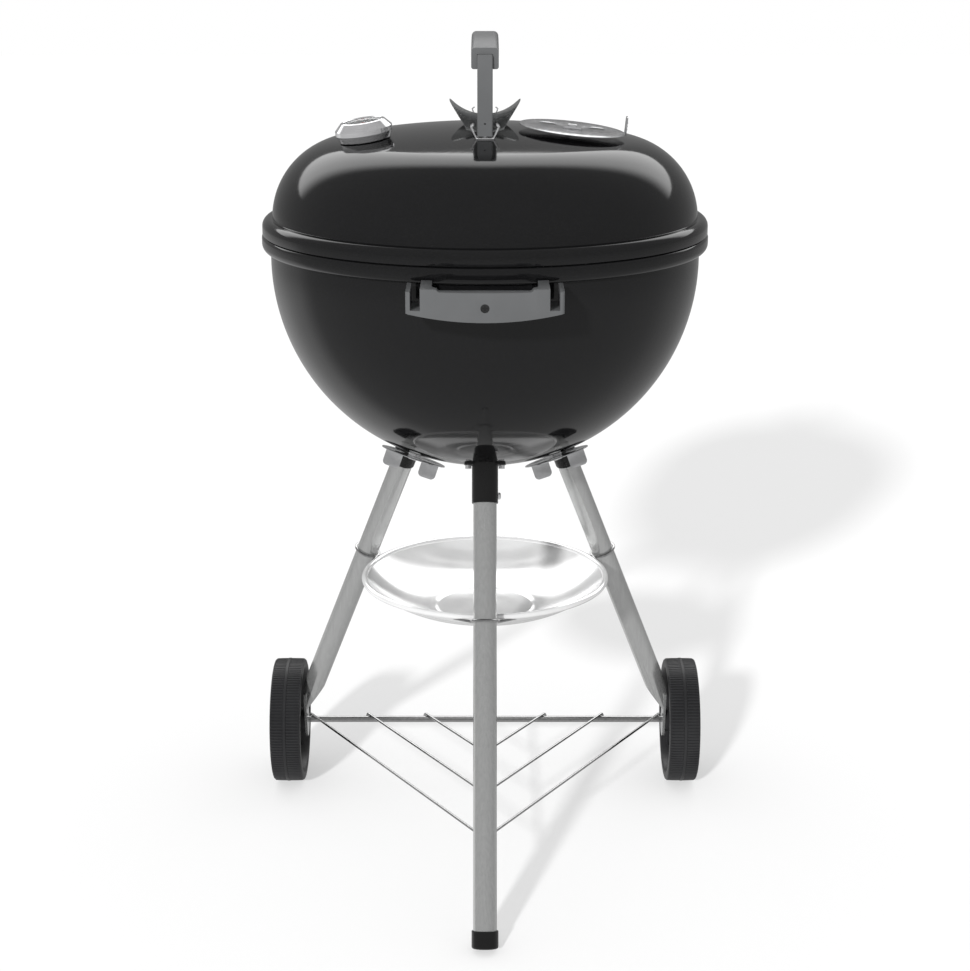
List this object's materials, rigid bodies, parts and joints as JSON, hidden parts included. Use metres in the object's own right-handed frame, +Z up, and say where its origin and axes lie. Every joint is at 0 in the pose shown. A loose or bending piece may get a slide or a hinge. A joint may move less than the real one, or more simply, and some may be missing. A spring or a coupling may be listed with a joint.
{
  "type": "kettle charcoal grill",
  "caption": "Round kettle charcoal grill on a wheeled tripod stand, with a domed lid, vents, thermometer, ash pan and wire shelf.",
  "frame": {"origin": "on the floor, in the middle of the footprint; the kettle's axis is 8 mm behind it", "axes": "+Z up, -Y towards the front leg with the foot cap, +X towards the right wheel seen from the front"},
  "size_m": [0.5306, 0.6129, 0.9345],
  "materials": {
    "black_enamel": "glossy vitreous enamel, slight orange peel",
    "black_nylon": "satin moulded nylon",
    "satin_tube": "bright satin aluminised tube",
    "plated_wire": "bright plated wire",
    "damper_aluminium": "pressed bright aluminium",
    "wheel_plastic": "moulded polyethylene with fine ribs",
    "handle_nylon": "glass-filled nylon, fine grain",
    "black_steel": "black coated steel",
    "grate_steel": "plated steel bars",
    "shield_steel": "dull stainless sheet",
    "chrome_trim": "polished chrome",
    "dial_face": "printed dial, plain marks",
    "gauge_glass": "clear glass",
    "needle_paint": "red paint"
  },
  "bodies": {
    "frame": {"ash_clip_front": "plated_wire", "ash_clip_left": "plated_wire", "ash_clip_right": "plated_wire", "ash_pan": "damper_aluminium", "axle": "plated_wire", "bottom_damper_rivets": "chrome_trim", "bottom_shelf": "plated_wire", "bowl": "black_enamel", "foot_cap": "black_nylon", "front_handle": "handle_nylon", "front_handle_bracket": "black_steel", "grate_rests": "grate_steel", "handle_screws": "black_steel", "hub_caps": "wheel_plastic", "leg_front": "satin_tube", "leg_left": "satin_tube", "leg_right": "satin_tube", "leg_screws": "chrome_trim", "leg_socket_front": "black_nylon", "leg_socket_left": "black_nylon", "leg_socket_right": "black_nylon", "rear_handle": "handle_nylon", "rear_handle_bracket": "black_steel", "socket_bolts": "chrome_trim"},
    "lid": {"heat_shield": "shield_steel", "lid": "black_enamel", "lid_damper_rivet": "chrome_trim", "lid_damper_spring": "chrome_trim", "lid_handle_arms": "handle_nylon", "lid_handle_clip_front": "chrome_trim", "lid_handle_clip_rear": "chrome_trim", "lid_handle_grip": "handle_nylon", "lid_handle_rivets": "chrome_trim", "thermometer_bezel": "chrome_trim", "thermometer_dial": "dial_face", "thermometer_glass": "gauge_glass", "thermometer_nut": "chrome_trim", "thermometer_stem": "chrome_trim"},
    "lid_damper": {"lid_damper": "damper_aluminium"},
    "thermometer_needle": {"thermometer_needle": "needle_paint"},
    "wheel_right": {"wheel_right": "wheel_plastic"},
    "wheel_left": {"wheel_left": "wheel_plastic"},
    "cooking_grate": {"cooking_grate": "grate_steel", "cooking_grate_handles": "grate_steel"},
    "charcoal_grate": {"charcoal_grate": "grate_steel"},
    "bottom_damper_rear": {"bottom_damper_rear": "damper_aluminium"},
    "bottom_damper_left": {"bottom_damper_left": "damper_aluminium"},
    "bottom_damper_right": {"bottom_damper_right": "damper_aluminium"}
  },
  "joints": [
    {"name": "lid_lift", "type": "slide", "parent": "frame", "child": "lid", "axis": [0, 0, 1], "range_m": [0, 0.4]},
    {"name": "lid_damper_turn", "type": "hinge", "parent": "lid", "child": "lid_damper", "pos_m": [0.09335, -0.02513, 0.83465], "axis": [0.1033, -0.0367, 0.994], "range_deg": [0, 45]},
    {"name": "thermometer_needle_turn", "type": "hinge", "parent": "lid", "child": "thermometer_needle", "pos_m": [-0.127, -0.048, 0.82593], "axis": [0.1411, 0.0622, -0.988], "range_deg": [0, 270]},
    {"name": "wheel_right_spin", "type": "hinge", "parent": "frame", "child": "wheel_right", "pos_m": [0.2465, 0.14317, 0.0775], "axis": [1, 0, 0], "continuous": true},
    {"name": "wheel_left_spin", "type": "hinge", "parent": "frame", "child": "wheel_left", "pos_m": [-0.2465, 0.14317, 0.0775], "axis": [1, 0, 0], "continuous": true},
    {"name": "cooking_grate_lift", "type": "slide", "parent": "frame", "child": "cooking_grate", "axis": [0, 0, 1], "range_m": [0, 0.02]},
    {"name": "charcoal_grate_lift", "type": "slide", "parent": "frame", "child": "charcoal_grate", "axis": [0, 0, 1], "range_m": [0, 0.06]},
    {"name": "bottom_damper_rear_turn", "type": "hinge", "parent": "frame", "child": "bottom_damper_rear", "pos_m": [0, 0.099, 0.47737], "axis": [0, 0.3758, -0.9267], "range_deg": [0, 45]},
    {"name": "bottom_damper_left_turn", "type": "hinge", "parent": "frame", "child": "bottom_damper_left", "pos_m": [-0.07881, -0.0375, 0.47737], "axis": [-0.3255, -0.1879, -0.9267], "range_deg": [0, 45]},
    {"name": "bottom_damper_right_turn", "type": "hinge", "parent": "frame", "child": "bottom_damper_right", "pos_m": [0.07881, -0.0375, 0.47737], "axis": [0.3255, -0.1879, -0.9267], "range_deg": [0, 45]}
  ]
}
